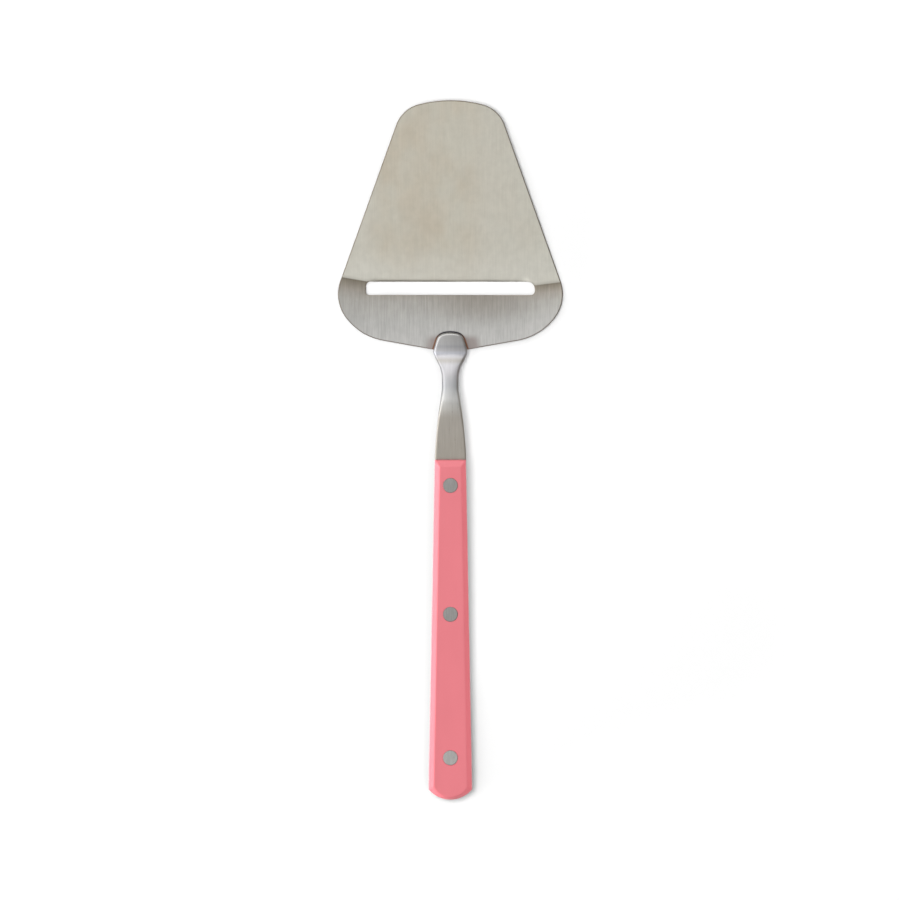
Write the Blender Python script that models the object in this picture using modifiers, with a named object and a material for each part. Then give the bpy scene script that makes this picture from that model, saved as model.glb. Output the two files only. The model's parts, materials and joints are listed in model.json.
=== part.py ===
"""Cheese slicer: a slotted steel blade welded to a cranked shank, whose tang carries two riveted scales.

Metres, +Z up. The slicer lies on a table at z = 0 with its tip towards +Y and its butt towards -Y.
The plane x = 0 is its mirror plane, and the origin lies under the middle of its length.
"""

import math

import bmesh
import bpy
from mathutils import Vector

# Clearances
SEAT_GAP = 0.0003           # between faces that lie on each other
RIVET_GAP = 0.0002          # around a rivet in its hole, and around a post in its socket

# Handle
HANDLE_LENGTH = 0.1165      # front of the scales to the end of the butt
HANDLE_FRONT_WIDTH = 0.0107
HANDLE_BUTT_WIDTH = 0.0149
BUTT_CROWN = 0.0036         # how far the rounded butt stands past its corners
SCALE_THICKNESS = 0.0039
SCALE_WALL = 0.0026         # upright part of a scale's sides, below the bevel
SIDE_BEVEL = 0.0016         # bevel widths, seen from above
FRONT_BEVEL = 0.0024
BUTT_BEVEL = 0.0010
HANDLE_LIFT = 0.0100        # middle of the tang above the table, at the front of the scales

# Rivets
RIVET_HEAD_DIAMETER = 0.0050
RIVET_HEAD_THICKNESS = 0.0011
RIVET_TUBE_DIAMETER = 0.0033
RIVET_POST_DIAMETER = 0.0018
FRONT_RIVET_SETBACK = 0.0087    # from the front of the scales
MIDDLE_RIVET_SETBACK = 0.0528   # from the front of the scales
REAR_RIVET_MARGIN = 0.0145      # from the end of the butt

# Shank
SHANK_THICKNESS = 0.0026
SHANK_EDGE = 0.0005         # rounding of its long edges
PAD_WIDTH = 0.0122          # pad corners are given before they are rounded
PAD_CORNER = 0.0028
PAD_LENGTH = 0.0068         # front of the pad back to its widest place
PAD_NOSE_WIDTH = 0.0086
PAD_NOSE_CORNER = 0.0020
PAD_CROWN_ANGLE = math.radians(13.0)
PAD_CROWN_RADIUS = 0.0120
PAD_TAPER = 0.0064          # widest part of the pad back to the waist
WAIST_WIDTH = 0.0059
WAIST_CORNER = 0.0100
WAIST_LENGTH = 0.0064
FLARE_LENGTH = 0.0237       # waist back to the scales
FLARE_POWER = 1.5
UPPER_BEND = 0.0173         # front of the scales to the bend where the neck starts down
UPPER_BEND_RADIUS = 0.0210
LOWER_BEND_RADIUS = 0.0084  # of the bend where the neck meets the widest part of the pad
PAD_LAP = 0.0069            # overlap of the pad on the blade

# Blade outline, with the corners given before they are rounded
BLADE_LENGTH = 0.0865
TIP_WIDTH = 0.0333
TIP_CORNER = 0.0110
CROWN_ANGLE = math.radians(15.0)
CROWN_RADIUS = 0.0435
SHOULDER_WIDTH = 0.0809
SHOULDER_SETBACK = 0.0173   # from the rear point of the blade
SHOULDER_CORNER = 0.0136
HEEL_WIDTH = 0.0606
HEEL_SETBACK = 0.0054       # from the rear point of the blade
HEEL_CORNER = 0.0200
REAR_CORNER = 0.0060

# Blade form
BLADE_THICKNESS = 0.0012
SLOT_SETBACK = 0.0198       # rear point of the blade to the rear edge of the slot
SLOT_LENGTH = 0.0046
SLOT_CORNER = 0.0018
STRAP_WIDTH = 0.0089        # metal left beside the slot at the cutting edge
FRONT_SLOPE = math.radians(4.0)     # rise of the front plate towards the tip
CREASE_SETBACK = 0.0010     # cutting edge back to the crease of the straps
HEEL_RISE = 0.0024          # rise of the dished rear plate from the crease to its rear point
GRIND_WIDTH = 0.0024        # ground bevel of the cutting lip, seen from above
EDGE_THICKNESS = 0.0003     # metal left at the cutting edge

# Weld
BEAD_DIAMETER = 0.0012
BEAD_LENGTH = 0.0110

# Fineness of the curves
ARC_STEP = math.radians(6.0)
TURN_STEPS = 40
BEND_STEPS = 12
STRETCH_STEPS = 8
EDGE_STEPS = 2
BEAD_STEPS = 3
SHARP_EDGE = math.radians(50.0)     # edges that turn by more than this are rounded
SAME_POINT = 0.000001       # points closer than this are one point
ROW_SPACING = 0.0001        # rows across the blade closer than this are one row

# Reach of a cutter past the faces that it cuts
OVERCUT = 0.0030


# Places that follow from the sizes

half_handle = SHANK_THICKNESS / 2 + SEAT_GAP + SCALE_THICKNESS
scale_seat = SHANK_THICKNESS / 2 + SEAT_GAP
tang_corner = -(HANDLE_LENGTH - BUTT_CROWN)

# The handle slopes down from HANDLE_LIFT until the lower edge of its butt meets the table
butt_rest = HANDLE_LENGTH - BUTT_BEVEL
handle_slope = (math.asin(HANDLE_LIFT / math.hypot(butt_rest, half_handle))
                - math.atan2(half_handle, butt_rest))

waist_front = FLARE_LENGTH + WAIST_LENGTH
pad_start = waist_front + PAD_TAPER
pad_front = pad_start + PAD_LENGTH

crease_to_rear = SLOT_SETBACK + SLOT_LENGTH - CREASE_SETBACK
pad_underside = HEEL_RISE + BLADE_THICKNESS + SEAT_GAP
pad_height = pad_underside + SHANK_THICKNESS / 2


def pad_plane(y):
    """Height of the pad's level mid-plane in the sloping frame of the handle."""
    return (pad_height - HANDLE_LIFT) / math.cos(handle_slope) - y * math.tan(handle_slope)


pad_front_reach = pad_front * math.cos(handle_slope) - pad_plane(pad_front) * math.sin(handle_slope)
blade_reach = pad_front_reach - PAD_LAP + BLADE_LENGTH
scale_front_y = (HANDLE_LENGTH - blade_reach) / 2
blade_rear_y = scale_front_y + pad_front_reach - PAD_LAP
blade_tip_y = blade_rear_y + BLADE_LENGTH
slot_rear_y = blade_rear_y + SLOT_SETBACK
cutting_edge_y = slot_rear_y + SLOT_LENGTH
crease_y = cutting_edge_y - CREASE_SETBACK
heel_angle = math.atan2(HEEL_SETBACK, HEEL_WIDTH / 2)

rivet_stations = {
    "front": -FRONT_RIVET_SETBACK,
    "middle": -MIDDLE_RIVET_SETBACK,
    "rear": -(HANDLE_LENGTH - REAR_RIVET_MARGIN),
}


# Scene and helpers


def clear_scene():
    for obj in list(bpy.data.objects):
        bpy.data.objects.remove(obj, do_unlink=True)


def make_collection(name):
    collection = bpy.data.collections.new(name)
    bpy.context.scene.collection.children.link(collection)
    return collection


def make_material(name, colour, roughness, metallic):
    material = bpy.data.materials.new(name)
    material.use_nodes = True
    shader = material.node_tree.nodes["Principled BSDF"]
    shader.inputs["Base Color"].default_value = (*colour, 1.0)
    shader.inputs["Roughness"].default_value = roughness
    shader.inputs["Metallic"].default_value = metallic
    return material


def mesh_from(bm, name):
    mesh = bpy.data.meshes.new(name)
    bm.to_mesh(mesh)
    bm.free()
    return mesh


def add_piece(name, data, material, parent=None):
    obj = bpy.data.objects.new(name, data)
    obj.parent = parent
    data.materials.append(material)
    parts.objects.link(obj)
    return obj


def add_cutter(name, mesh, parent=None):
    obj = bpy.data.objects.new(name, mesh)
    obj.parent = parent
    obj.hide_render = True
    obj.display_type = "WIRE"
    cutters.objects.link(obj)
    return obj


def cut(piece, cutter):
    boolean = piece.modifiers.new(cutter.name, "BOOLEAN")
    boolean.operation = "DIFFERENCE"
    boolean.solver = "EXACT"
    boolean.object = cutter


def turn(obj):
    """Turns the profile in the object's mesh round its own Z axis."""
    screw = obj.modifiers.new("turned", "SCREW")
    screw.axis = "Z"
    screw.steps = TURN_STEPS
    screw.render_steps = TURN_STEPS
    screw.use_merge_vertices = True
    screw.merge_threshold = SAME_POINT


def profile_mesh(name, points):
    """A turned piece's half profile, from the axis round its outside and back to the axis."""
    bm = bmesh.new()
    verts = [bm.verts.new((radius, 0.0, height)) for radius, height in points]
    for first, second in zip(verts, verts[1:]):
        bm.edges.new((first, second))
    return mesh_from(bm, name)


def rounded_path(corners):
    """Rounds the inner corners of a path of (x, y, radius); arcs share a side too short for both."""
    points = [Vector((x, y)) for x, y, _ in corners]
    inner = range(1, len(corners) - 1)
    half_angles = {}
    reaches = {0: 0.0, len(corners) - 1: 0.0}
    for i in inner:
        half_angles[i] = (points[i - 1] - points[i]).angle(points[i + 1] - points[i]) / 2
        reaches[i] = corners[i][2] / math.tan(half_angles[i])
    shares = []
    for i in range(len(corners) - 1):
        wanted = reaches[i] + reaches[i + 1]
        room = (points[i + 1] - points[i]).length
        shares.append(min(1.0, room / max(wanted, SAME_POINT)))
    path = []
    for i in inner:
        reach = reaches[i] * min(shares[i - 1], shares[i])
        radius = reach * math.tan(half_angles[i])
        back = (points[i - 1] - points[i]).normalized()
        onward = (points[i + 1] - points[i]).normalized()
        centre = points[i] + (back + onward).normalized() * radius / math.sin(half_angles[i])
        start = points[i] + back * reach - centre
        end = points[i] + onward * reach - centre
        swing = math.atan2(start.cross(end), start.dot(end))
        steps = 2 * max(1, math.ceil(abs(swing) / (2 * ARC_STEP)))
        for step in range(steps + 1):
            angle = swing * step / steps
            turned = Vector((start.x * math.cos(angle) - start.y * math.sin(angle),
                             start.x * math.sin(angle) + start.y * math.cos(angle)))
            if not path or (centre + turned - path[-1]).length > SAME_POINT:
                path.append(centre + turned)
    return path


def width_at(outline, y):
    """Half width of an outline of (half width, y) points that runs towards -Y."""
    for (wide_a, y_a), (wide_b, y_b) in zip(outline, outline[1:]):
        if y_a >= y >= y_b and y_a > y_b:
            return wide_a + (wide_b - wide_a) * (y_a - y) / (y_a - y_b)
    return 0.0


def right_half(path):
    """The stretch of a path on and right of the axis, as (half width, y) points."""
    return [(point.x if point.x > SAME_POINT else 0.0, point.y) for point in path if point.x > -SAME_POINT]


def add_rows(outline, stations):
    """Outline with a point at each station, where outline points too close to a station give way."""
    rows = [(width_at(outline, y), y) for y in stations]
    for half_width, y in outline:
        if half_width == 0.0 or all(abs(y - station) > ROW_SPACING for station in stations):
            rows.append((half_width, y))
    return sorted(rows, key=lambda point: -point[1])


def open_sheet(outline, height):
    """Formed sheet spanned between an outline of (half width, y) points and its mirror image."""
    bm = bmesh.new()
    rows = []
    for half_width, y in outline:
        if half_width == 0.0:
            rows.append([bm.verts.new((0.0, y, height(y)))])
        else:
            rows.append([bm.verts.new((side * half_width, y, height(y))) for side in (-1, 1)])
    for ahead, behind in zip(rows, rows[1:]):
        bm.faces.new(ahead[::-1] + behind)
    bmesh.ops.recalc_face_normals(bm, faces=bm.faces)
    if sum(face.normal.z for face in bm.faces) < 0:
        bmesh.ops.reverse_faces(bm, faces=bm.faces)
    return bm


def raise_sheet(bm, rise):
    """Closes an open sheet into a solid, whose upper face lies straight above the sheet."""
    walls = bmesh.ops.extrude_face_region(bm, geom=bm.faces[:])
    lifted = [item for item in walls["geom"] if isinstance(item, bmesh.types.BMVert)]
    bmesh.ops.translate(bm, verts=lifted, vec=(0.0, 0.0, rise))
    bmesh.ops.recalc_face_normals(bm, faces=bm.faces)


# Blade


def blade_outline():
    """Half outline of the blade, from the tip to the rear point."""
    crown_y = blade_tip_y + CROWN_RADIUS * (1 / math.cos(CROWN_ANGLE) - 1)
    tip = (TIP_WIDTH / 2, crown_y - TIP_WIDTH / 2 * math.tan(CROWN_ANGLE))
    shoulder = (SHOULDER_WIDTH / 2, blade_rear_y + SHOULDER_SETBACK)
    heel = (HEEL_WIDTH / 2, blade_rear_y + HEEL_SETBACK)
    path = rounded_path([
        (-tip[0], tip[1], 0.0),
        (0.0, crown_y, CROWN_RADIUS),
        (*tip, TIP_CORNER),
        (*shoulder, SHOULDER_CORNER),
        (*heel, HEEL_CORNER),
        (0.0, blade_rear_y, REAR_CORNER),
        (-heel[0], heel[1], 0.0),
    ])
    return right_half(path)


def blade_height(y):
    """Height of the blade's lower face: sloping front plate, crease, then the dished rear plate."""
    behind = crease_y - y
    if behind <= 0:
        return -behind * math.tan(FRONT_SLOPE)
    left_over = 1 - min(behind / crease_to_rear, 1.0)
    return HEEL_RISE * (1 - left_over ** 2)


def slot_half_width(outline):
    return width_at(outline, cutting_edge_y) - STRAP_WIDTH


def slot_cutter(half_width):
    """Upright prism with the slot's rounded outline."""
    corners = [
        (half_width, cutting_edge_y, SLOT_CORNER),
        (-half_width, cutting_edge_y, SLOT_CORNER),
        (-half_width, slot_rear_y, SLOT_CORNER),
        (half_width, slot_rear_y, SLOT_CORNER),
    ]
    path = rounded_path([corners[-1], *corners, corners[0]])
    floor = -OVERCUT
    depth = HEEL_RISE + BLADE_THICKNESS + 2 * OVERCUT
    bm = bmesh.new()
    bm.faces.new([bm.verts.new((point.x, point.y, floor)) for point in path])
    raise_sheet(bm, depth)
    return add_cutter("slot_cutter", mesh_from(bm, "slot_cutter"))


def grind_cutter(half_width):
    """Block whose sloping underside grinds the cutting lip thin."""
    edge_height = blade_height(cutting_edge_y) + EDGE_THICKNESS
    bevel_height = blade_height(cutting_edge_y + GRIND_WIDTH) + BLADE_THICKNESS
    angle = math.atan2(bevel_height - edge_height, GRIND_WIDTH)
    behind = SLOT_LENGTH / 2
    length = behind + 2 * GRIND_WIDTH
    bm = bmesh.new()
    bmesh.ops.create_cube(bm, size=1.0)
    bmesh.ops.scale(bm, verts=bm.verts, vec=(2 * half_width, length, OVERCUT))
    bmesh.ops.translate(bm, verts=bm.verts, vec=(0.0, length / 2 - behind, OVERCUT / 2))
    cutter = add_cutter("grind_cutter", mesh_from(bm, "grind_cutter"))
    cutter.location = (0.0, cutting_edge_y, edge_height)
    cutter.rotation_euler = (angle, 0.0, 0.0)
    return cutter


def make_blade():
    outline = blade_outline()
    rear_y = outline[-1][1]
    form_lines = [crease_y - crease_to_rear * step / BEND_STEPS for step in range(BEND_STEPS)]
    outline = add_rows(outline, [y for y in form_lines if y > rear_y + ROW_SPACING])
    bm = open_sheet(outline, blade_height)
    raise_sheet(bm, BLADE_THICKNESS)
    blade = add_piece("blade", mesh_from(bm, "blade"), blade_steel)
    half_slot = slot_half_width(outline)
    cut(blade, slot_cutter(half_slot))
    cut(blade, grind_cutter(half_slot - SLOT_CORNER))


# Shank, in the frame of the handle: y = 0 at the front of the scales, z = 0 in the middle of the tang


def handle_half_width(y):
    share = y / tang_corner
    return (HANDLE_FRONT_WIDTH + (HANDLE_BUTT_WIDTH - HANDLE_FRONT_WIDTH) * share) / 2


def butt_arc(half_width, crown, corner_y):
    """Right half of the rounded butt, from its corner to its middle, as (half width, y) points."""
    radius = (half_width ** 2 + crown ** 2) / (2 * crown)
    spread = math.asin(half_width / radius)
    centre_y = corner_y - crown + radius
    arc = []
    for step in range(STRETCH_STEPS):
        angle = spread * (1 - step / STRETCH_STEPS)
        arc.append((radius * math.sin(angle), centre_y - radius * math.cos(angle)))
    return [*arc, (0.0, corner_y - crown)]


def shank_outline():
    """Half outline of the shank, from the nose of the pad to the end of the tang."""
    crown_y = pad_front + PAD_CROWN_RADIUS * (1 / math.cos(PAD_CROWN_ANGLE) - 1)
    nose = (PAD_NOSE_WIDTH / 2, crown_y - PAD_NOSE_WIDTH / 2 * math.tan(PAD_CROWN_ANGLE))
    pad = right_half(rounded_path([
        (-nose[0], nose[1], 0.0),
        (0.0, crown_y, PAD_CROWN_RADIUS),
        (*nose, PAD_NOSE_CORNER),
        (PAD_WIDTH / 2, pad_start, PAD_CORNER),
        (WAIST_WIDTH / 2, waist_front, WAIST_CORNER),
        (WAIST_WIDTH / 2, FLARE_LENGTH, 0.0),
    ]))
    flare = []
    for step in range(BEND_STEPS + 1):
        share = step / BEND_STEPS
        narrowing = (HANDLE_FRONT_WIDTH - WAIST_WIDTH) * (1 - share) ** FLARE_POWER
        flare.append(((HANDLE_FRONT_WIDTH - narrowing) / 2, FLARE_LENGTH * (1 - share)))
    tang = butt_arc(handle_half_width(tang_corner), BUTT_CROWN, tang_corner)
    return [*pad, *flare, *tang]


def shank_bends():
    """Mid-plane of the neck as (y, z) points: from the bolster down a ramp to the level pad."""
    return rounded_path([
        (0.0, 0.0, 0.0),
        (UPPER_BEND, 0.0, UPPER_BEND_RADIUS),
        (pad_start, pad_plane(pad_start), LOWER_BEND_RADIUS),
        (pad_front, pad_plane(pad_front), 0.0),
    ])


def shank_height(bends, y):
    """Mid-plane of the shank at y: the flat tang and bolster, the neck, then the level pad."""
    for (y_a, z_a), (y_b, z_b) in zip(bends, bends[1:]):
        if y_a <= y <= y_b:
            return z_a + (z_b - z_a) * (y - y_a) / (y_b - y_a)
    return 0.0 if y < bends[0].x else pad_plane(y)


def make_shank(handle):
    bends = shank_bends()
    outline = add_rows(shank_outline(), [point.x for point in bends])
    mesh = mesh_from(open_sheet(outline, lambda y: shank_height(bends, y)), "shank")
    shank = add_piece("shank", mesh, shank_steel, handle)
    thickness = shank.modifiers.new("thickness", "SOLIDIFY")
    thickness.thickness = SHANK_THICKNESS
    thickness.offset = 0.0
    thickness.use_even_offset = True
    edges = shank.modifiers.new("edges", "BEVEL")
    edges.limit_method = "ANGLE"
    edges.angle_limit = SHARP_EDGE
    edges.width = SHANK_EDGE
    edges.segments = EDGE_STEPS
    edges.loop_slide = False
    edges.use_clamp_overlap = False
    return shank


# Weld


def make_weld_bead():
    """Bead in the corner between the blade's rear edge and the underside of the pad."""
    radius = BEAD_DIAMETER / 2
    behind = (radius + SEAT_GAP) / math.cos(heel_angle)
    height = pad_underside - SEAT_GAP - radius
    curve = bpy.data.curves.new("weld_bead", "CURVE")
    curve.dimensions = "3D"
    curve.bevel_depth = radius
    curve.bevel_resolution = BEAD_STEPS
    curve.use_fill_caps = True
    bead = curve.splines.new("POLY")
    bead.points.add(2)
    for point, x in zip(bead.points, (-BEAD_LENGTH / 2, 0.0, BEAD_LENGTH / 2)):
        point.co = (x, blade_rear_y - behind + abs(x) * math.tan(heel_angle), height, 1.0)
    add_piece("weld_bead", curve, weld_steel)


# Scales


def scale_ring(side_inset, front_inset, butt_inset):
    """Closed outline of a scale, drawn in from the handle's sides, front and butt."""
    corner_y = tang_corner + butt_inset
    front = (handle_half_width(-front_inset) - side_inset, -front_inset)
    right = [front, *butt_arc(handle_half_width(corner_y) - side_inset, BUTT_CROWN, corner_y)]
    left = [(-half_width, y) for half_width, y in reversed(right) if half_width > 0]
    return right + left


def make_scale(name, side, handle):
    """Bevelled slab on the upper (side 1) or lower (side -1) face of the tang."""
    wall_top = scale_seat + SCALE_WALL
    sections = [
        (scale_ring(0.0, 0.0, 0.0), scale_seat),
        (scale_ring(0.0, 0.0, 0.0), wall_top),
        (scale_ring(SIDE_BEVEL, FRONT_BEVEL, BUTT_BEVEL), half_handle),
    ]
    bm = bmesh.new()
    loops = [[bm.verts.new((x, y, side * z)) for x, y in ring] for ring, z in sections]
    for lower, upper in zip(loops, loops[1:]):
        for i in range(len(lower)):
            bm.faces.new((lower[i - 1], lower[i], upper[i], upper[i - 1]))
    bm.faces.new(loops[0])
    bm.faces.new(loops[-1])
    bmesh.ops.recalc_face_normals(bm, faces=bm.faces)
    return add_piece(name, mesh_from(bm, name), pink_plastic, handle)


# Rivets


def rivet_hole_cutter(place, y, handle):
    """Spool that cuts both counterbores and the hole between them."""
    head = RIVET_HEAD_DIAMETER / 2 + RIVET_GAP
    tube = RIVET_TUBE_DIAMETER / 2 + RIVET_GAP
    end = half_handle + OVERCUT
    seat = half_handle - RIVET_HEAD_THICKNESS - RIVET_GAP
    name = f"rivet_hole_cutter_{place}"
    points = [(0.0, end), (head, end), (head, seat), (tube, seat),
              (tube, -seat), (head, -seat), (head, -end), (0.0, -end)]
    cutter = add_cutter(name, profile_mesh(name, points), handle)
    cutter.location = (0.0, y, 0.0)
    turn(cutter)
    return cutter


def make_rivet(place, y, handle):
    """Upper half with a solid post, pressed into a lower half with a socket tube."""
    head = RIVET_HEAD_DIAMETER / 2
    tube = RIVET_TUBE_DIAMETER / 2
    post = RIVET_POST_DIAMETER / 2
    bore = post + RIVET_GAP
    head_seat = half_handle - RIVET_HEAD_THICKNESS
    tube_top = head_seat - SEAT_GAP
    bore_floor = -head_seat
    post_end = bore_floor + SEAT_GAP
    profiles = {
        "post": [(0.0, half_handle), (head, half_handle), (head, head_seat),
                 (post, head_seat), (post, post_end), (0.0, post_end)],
        "socket": [(0.0, bore_floor), (bore, bore_floor), (bore, tube_top), (tube, tube_top),
                   (tube, -head_seat), (head, -head_seat), (head, -half_handle), (0.0, -half_handle)],
    }
    for half, points in profiles.items():
        name = f"rivet_{half}_{place}"
        rivet = add_piece(name, profile_mesh(name, points), rivet_steel, handle)
        rivet.location = (0.0, y, 0.0)
        turn(rivet)


def make_handle():
    handle = bpy.data.objects.new("handle_frame", None)
    handle.location = (0.0, scale_front_y, HANDLE_LIFT)
    handle.rotation_euler = (handle_slope, 0.0, 0.0)
    parts.objects.link(handle)
    riveted = [
        make_shank(handle),
        make_scale("upper_scale", 1, handle),
        make_scale("lower_scale", -1, handle),
    ]
    for place, y in rivet_stations.items():
        hole = rivet_hole_cutter(place, y, handle)
        for piece in riveted:
            cut(piece, hole)
        make_rivet(place, y, handle)


clear_scene()
parts = make_collection("cheese_slicer")
cutters = make_collection("cutters")
blade_steel = make_material("blade_steel", (0.52, 0.49, 0.43), 0.36, 1.0)
shank_steel = make_material("shank_steel", (0.40, 0.38, 0.35), 0.32, 1.0)
weld_steel = make_material("weld_steel", (0.25, 0.22, 0.20), 0.45, 1.0)
rivet_steel = make_material("rivet_steel", (0.32, 0.32, 0.31), 0.40, 1.0)
pink_plastic = make_material("pink_plastic", (0.80, 0.22, 0.26), 0.42, 0.0)
make_blade()
make_weld_bead()
make_handle()
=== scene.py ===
"""Cheese slicer with its finish: a brushed blade, a welded shank and pink riveted scales.

It lies on a white table and is seen from straight above. Metres, +Z up, tip towards +Y.
"""

import bisect
import json
import math

import bmesh
import bpy
from mathutils import Matrix, Vector, geometry, kdtree


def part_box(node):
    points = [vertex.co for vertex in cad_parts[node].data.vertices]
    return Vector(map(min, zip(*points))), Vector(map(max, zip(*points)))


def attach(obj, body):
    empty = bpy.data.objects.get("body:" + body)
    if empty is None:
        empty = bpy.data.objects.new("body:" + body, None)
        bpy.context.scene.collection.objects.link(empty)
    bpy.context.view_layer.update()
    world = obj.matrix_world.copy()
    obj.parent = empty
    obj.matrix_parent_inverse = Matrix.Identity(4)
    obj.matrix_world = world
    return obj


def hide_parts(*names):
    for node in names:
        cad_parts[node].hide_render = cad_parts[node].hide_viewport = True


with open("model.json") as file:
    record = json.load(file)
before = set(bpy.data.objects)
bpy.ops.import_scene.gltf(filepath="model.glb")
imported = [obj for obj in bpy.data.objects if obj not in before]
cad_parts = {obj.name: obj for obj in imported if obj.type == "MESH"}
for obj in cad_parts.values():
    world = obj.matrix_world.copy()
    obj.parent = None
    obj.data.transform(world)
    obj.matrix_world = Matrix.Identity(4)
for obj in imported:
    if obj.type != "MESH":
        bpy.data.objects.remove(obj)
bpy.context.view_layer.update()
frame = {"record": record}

# Handle
HANDLE_LENGTH = 0.1165
HANDLE_FRONT_WIDTH = 0.0107
HANDLE_BUTT_WIDTH = 0.0149
BUTT_CROWN = 0.0036
HALF_HANDLE = 0.0055        # middle of the tang to the outer face of a scale
SCALE_WALL_TOP = 0.0042     # middle of the tang to the lower edge of the bevel
SIDE_BEVEL = 0.0016
FRONT_BEVEL = 0.0024
BUTT_BEVEL = 0.0010
SCALE_SOFTNESS = 0.0004     # rounding that buffing leaves on the scale's outer edges
SCALE_CRISPNESS = 0.00012   # rounding of the edges that meet the tang
SEAT = 0.00003              # hairline between faces that lie on each other

# Rivets
RIVET_HEAD = 0.0050
RIVET_HEAD_THICKNESS = 0.0011
RIVET_TUBE = 0.0033
RIVET_POST = 0.0018
RIVET_PLAY = 0.00028        # room beyond the end of a tube or a post
RIVET_PROUD = 0.00002
RIVET_RIM = 0.00014
RIVET_HAIRLINE = 0.00006    # gap round a rivet in its hole, and round a post in its tube
RIVET_PLACES = {"front": -0.0087, "middle": -0.0528, "rear": -0.1020}
RIVET_SIDES = {"post": 1, "socket": -1}         # above and below the tang

# Shank, in the frame of the handle
SHANK_THICKNESS = 0.0026
PAD_WIDTH = 0.0122
PAD_CORNER = 0.0028
PAD_LENGTH = 0.0068
PAD_NOSE_WIDTH = 0.0083
PAD_NOSE_CORNER = 0.0034
PAD_CROWN_ANGLE = math.radians(13.0)
PAD_CROWN_RADIUS = 0.0090
PAD_TAPER = 0.0064
WAIST_WIDTH = 0.0059
WAIST_CORNER = 0.0100
WAIST_LENGTH = 0.0064
FLARE_LENGTH = 0.0237
FLARE_POWER = 1.5
UPPER_BEND = 0.0173         # front of the scales to the bend where the neck starts down
UPPER_BEND_RADIUS = 0.0210
NECK_SAG = 0.0307           # where the neck bows a little above a straight ramp
NECK_BOW = 0.00053
NECK_BOW_RADIUS = 0.0620
LOWER_BEND_RADIUS = 0.0084
BOLSTER_LENGTH = 0.0105     # front of the scales to where the edges start to be rounded
BOLSTER_EDGES = (0.0007, 0.00025, 0.0)      # width and depth of the edges' rounding, crown of the top
WAIST_EDGES = (0.0010, 0.0007, 0.00045)
PAD_EDGES = (0.0009, 0.0006, 0.00038)

# Blade
BLADE_LENGTH = 0.0865
BLADE_THICKNESS = 0.0012
TIP_WIDTH = 0.0333
TIP_CORNER = 0.0110
CROWN_ANGLE = math.radians(15.0)
CROWN_RADIUS = 0.0428
SHOULDER_WIDTH = 0.0809
SHOULDER_SETBACK = 0.0173
SHOULDER_CORNER = 0.0136
HEEL_WIDTH = 0.0606
HEEL_SETBACK = 0.0054
HEEL_CORNER = 0.0200
REAR_CORNER = 0.0060
SLOT_SETBACK = 0.0198
SLOT_LENGTH = 0.0046
STRAP_WIDTH = 0.0089
FRONT_SLOPE = math.radians(4.0)
CREASE_SETBACK = 0.0006
CREASE_SWEEP = 0.0013       # the creases run forward by this towards the blade's sides
CREASE_SKEW = 0.0007        # the left crease lies this far ahead of the middle, the right behind it
HEEL_RISE = 0.0024
GRIND_WIDTH = 0.0024
GRIND_POWER = 2.5           # the ground lip is hollow, and steepest at the cutting edge
GRIND_END = 0.0016          # from the slot's ends to where the ground lip starts
GRIND_FADE = 0.0030
EDGE_THICKNESS = 0.0003
RIM_ROUNDING = 0.0002
SLOT_EDGE = 0.00008
# Radius of each corner of the slot, by its side: 1 or -1 for right or left, and for front or rear
SLOT_CORNERS = {(1, 1): 0.0026, (1, -1): 0.0015, (-1, -1): 0.0010, (-1, 1): 0.0014}

# Weld
BEAD_DIAMETER = 0.0012
BEAD_LENGTH = 0.0110
BEAD_DROPS = 11
BEAD_WOBBLE = 0.08          # share by which the drops differ in size
BEAD_BEAT = 2.4             # turn from drop to drop of the wave that sets their sizes
BEAD_OVERHANG = 0.55        # part of a drop's radius that its middle lies behind the blade
BEAD_WANDER = 0.15          # part of the wobble that moves a drop to and fro
BEAD_STRETCH = 1.1
BEAD_FLATTENING = 0.92

# Fineness
UNIT = 2.0                  # size of a primitive that reaches from -1 to 1
ARC_STEP = math.radians(2.5)
SAME_POINT = 1e-6
EDGE_SAMPLES = 12000
BLADE_COLUMNS = 96
FRONT_ROWS = 46
REAR_ROWS = 42
RIM_CROWDING = 3.0          # crowds the rows of the blade towards its rim
CREASE_CROWDING = 2.0
SLOT_CUTTER_REACH = 0.01
SLOT_CORNER_STEPS = 10
SLOT_EDGE_STEPS = 2
SHANK_COLUMNS = 44
SHANK_ROWS = 300
FLARE_STEPS = 24
BUTT_CUTS = 31
SOFTNESS_STEPS = 4
CRISPNESS_STEPS = 2
ROUND_STEPS = 72
RIM_STEPS = 3
DROP_STEPS = (24, 12)       # round a drop, and from pole to pole
BEAD_VOXEL = 0.00008
DOWNWARD = -0.9             # a face whose normal rises less than this looks down
SHARP = math.radians(60.0)
BUFFED = math.radians(15.0)
SOFT = math.radians(32.0)   # edges up to these angles are shaded smooth
SHANK_SOFT = math.radians(50.0)
BEAD_SOFT = math.radians(80.0)

# Finishes
NOISE_RANGE = (0.3, 0.7)            # where most values of a noise lie

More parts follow.
